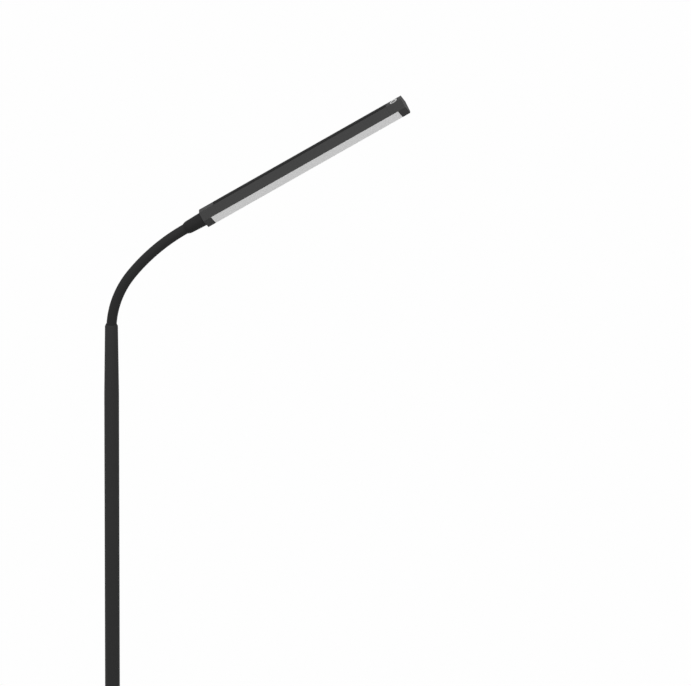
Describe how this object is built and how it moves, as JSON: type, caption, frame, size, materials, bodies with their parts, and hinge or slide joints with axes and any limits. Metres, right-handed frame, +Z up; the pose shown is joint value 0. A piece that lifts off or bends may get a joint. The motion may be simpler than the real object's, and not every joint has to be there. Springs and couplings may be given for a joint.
{
  "type": "gooseneck floor lamp",
  "caption": "Reading floor lamp: weighted round base, slim column, bendable sleeved gooseneck, long bar-shaped light head with a milky diffuser and a push button.",
  "frame": {"origin": "centre of the underside of the base pad, on the floor", "axes": "+Z up along the column, +X the way the head points at rest, -X the back with the power inlet, +Y to the left of +X"},
  "size_m": [0.5685, 0.25, 1.6113],
  "materials": {
    "black_coat": "fine satin black powder coat",
    "cast_weight": "rough cast",
    "plate_steel": "zinc-plated sheet",
    "pad_foam": "closed-cell foam rubber",
    "screw_steel": "zinc-plated",
    "inlet_plastic": "matt moulded black",
    "joiner_alloy": "turned",
    "lead_jacket": "smooth black jacket",
    "neck_steel": "oiled steel",
    "neck_rubber": "smooth satin sleeve",
    "black_moulding": "fine satin moulding",
    "head_grey": "fine satin dark grey coat",
    "milky_diffuser": "milky, satin",
    "board_white": "white solder mask",
    "led_yellow": "phosphor",
    "board_green": "solder mask",
    "button_grey": "smooth grey",
    "ring_white": "milky white light guide"
  },
  "bodies": {
    "stand": {"base_cover": "black_coat", "base_weight": "cast_weight", "base_plate": "plate_steel", "base_pad": "pad_foam", "base_screws": "screw_steel", "column_stud": "screw_steel", "column_nut": "screw_steel", "power_inlet": "inlet_plastic", "foot_collar": "black_coat", "lower_tube": "black_coat", "tube_joiner": "joiner_alloy", "upper_tube": "black_coat", "neck_socket": "black_coat", "neck_nut": "screw_steel", "supply_lead": "lead_jacket", "neck_root": "neck_steel", "neck_sleeve_0": "neck_rubber"},
    "link_1": {"neck_link_1": "neck_steel", "neck_lead_1": "lead_jacket", "neck_sleeve_1": "neck_rubber"},
    "link_2": {"neck_link_2": "neck_steel", "neck_lead_2": "lead_jacket", "neck_sleeve_2": "neck_rubber"},
    "link_3": {"neck_link_3": "neck_steel", "neck_lead_3": "lead_jacket", "neck_sleeve_3": "neck_rubber"},
    "link_4": {"neck_link_4": "neck_steel", "neck_lead_4": "lead_jacket", "neck_sleeve_4": "neck_rubber"},
    "link_5": {"neck_link_5": "neck_steel", "neck_lead_5": "lead_jacket", "neck_sleeve_5": "neck_rubber"},
    "link_6": {"neck_link_6": "neck_steel", "neck_lead_6": "lead_jacket", "neck_sleeve_6": "neck_rubber"},
    "link_7": {"neck_link_7": "neck_steel", "neck_lead_7": "lead_jacket", "neck_sleeve_7": "neck_rubber"},
    "link_8": {"neck_link_8": "neck_steel", "neck_lead_8": "lead_jacket", "neck_sleeve_8": "neck_rubber"},
    "link_9": {"neck_link_9": "neck_steel", "neck_lead_9": "lead_jacket", "neck_sleeve_9": "neck_rubber"},
    "head": {"neck_tip": "neck_steel", "neck_sleeve_10": "neck_rubber", "head_coupler": "black_moulding", "head_nut": "screw_steel", "head_lead": "lead_jacket", "near_cap": "head_grey", "far_cap": "head_grey", "head_profile": "head_grey", "cap_screws": "screw_steel", "diffuser": "milky_diffuser", "led_board": "board_white", "led_chips": "led_yellow", "driver_board": "board_green", "button_switch": "inlet_plastic", "button_ring": "ring_white"},
    "button": {"touch_button": "button_grey"}
  },
  "joints": [
    {"name": "neck_bend_7", "type": "hinge", "parent": "stand", "child": "link_1", "pos_m": [0.00112, 0, 1.26403], "axis": [0, 1, 0], "range_deg": [-30.29, 13.43], "deforming": ["neck_sleeve_0", "neck_sleeve_1", "neck_lead_1"]},
    {"name": "neck_bend_6", "type": "hinge", "parent": "link_1", "child": "link_2", "pos_m": [0.00475, 0, 1.28267], "axis": [0, 1, 0], "range_deg": [-30.29, 13.43], "deforming": ["neck_sleeve_2", "neck_lead_2"]},
    {"name": "neck_sway", "type": "hinge", "parent": "link_2", "child": "link_3", "pos_m": [0.01083, 0, 1.30065], "axis": [0.9239, 0, -0.3827], "range_deg": [-20, 20], "deforming": ["neck_sleeve_3", "neck_lead_3"]},
    {"name": "neck_bend_5", "type": "hinge", "parent": "link_3", "child": "link_4", "pos_m": [0.01925, 0, 1.31767], "axis": [0, 1, 0], "range_deg": [-30.29, 13.43], "deforming": ["neck_sleeve_4", "neck_lead_4"]},
    {"name": "neck_bend_4", "type": "hinge", "parent": "link_4", "child": "link_5", "pos_m": [0.02986, 0, 1.33342], "axis": [0, 1, 0], "range_deg": [-30.29, 13.43], "deforming": ["neck_sleeve_5", "neck_lead_5"]},
    {"name": "neck_sway_2", "type": "hinge", "parent": "link_5", "child": "link_6", "pos_m": [0.04199, 0, 1.34804], "axis": [0.7485, 0, -0.6631], "range_deg": [-20, 20], "deforming": ["neck_sleeve_6", "neck_lead_6"]},
    {"name": "neck_bend_3", "type": "hinge", "parent": "link_6", "child": "link_7", "pos_m": [0.05504, 0, 1.36184], "axis": [0, 1, 0], "range_deg": [-30.29, 13.43], "deforming": ["neck_sleeve_7", "neck_lead_7"]},
    {"name": "neck_bend_2", "type": "hinge", "parent": "link_7", "child": "link_8", "pos_m": [0.06897, 0, 1.37476], "axis": [0, 1, 0], "range_deg": [-30.29, 13.43], "deforming": ["neck_sleeve_8", "neck_lead_8"]},
    {"name": "neck_sway_3", "type": "hinge", "parent": "link_8", "child": "link_9", "pos_m": [0.08371, 0, 1.38675], "axis": [0.6053, 0, -0.796], "range_deg": [-20, 20], "deforming": ["neck_sleeve_9", "neck_lead_9"]},
    {"name": "neck_bend", "type": "hinge", "parent": "link_9", "child": "head", "pos_m": [0.09919, 0, 1.39775], "axis": [0, 1, 0], "range_deg": [-30.29, 13.43], "deforming": ["neck_sleeve_10", "head_lead"]},
    {"name": "button_press", "type": "slide", "parent": "head", "child": "button", "axis": [0.515, 0, -0.8572], "range_m": [0, 0.0006], "stiffness_N_per_m": 400}
  ],
  "couplings": [
    {"joint": "neck_bend_7", "follows": "neck_bend", "ratio": 1},
    {"joint": "neck_bend_6", "follows": "neck_bend", "ratio": 1},
    {"joint": "neck_bend_5", "follows": "neck_bend", "ratio": 1},
    {"joint": "neck_bend_4", "follows": "neck_bend", "ratio": 1},
    {"joint": "neck_sway_2", "follows": "neck_sway", "ratio": 1},
    {"joint": "neck_bend_3", "follows": "neck_bend", "ratio": 1},
    {"joint": "neck_bend_2", "follows": "neck_bend", "ratio": 1},
    {"joint": "neck_sway_3", "follows": "neck_sway", "ratio": 1}
  ]
}
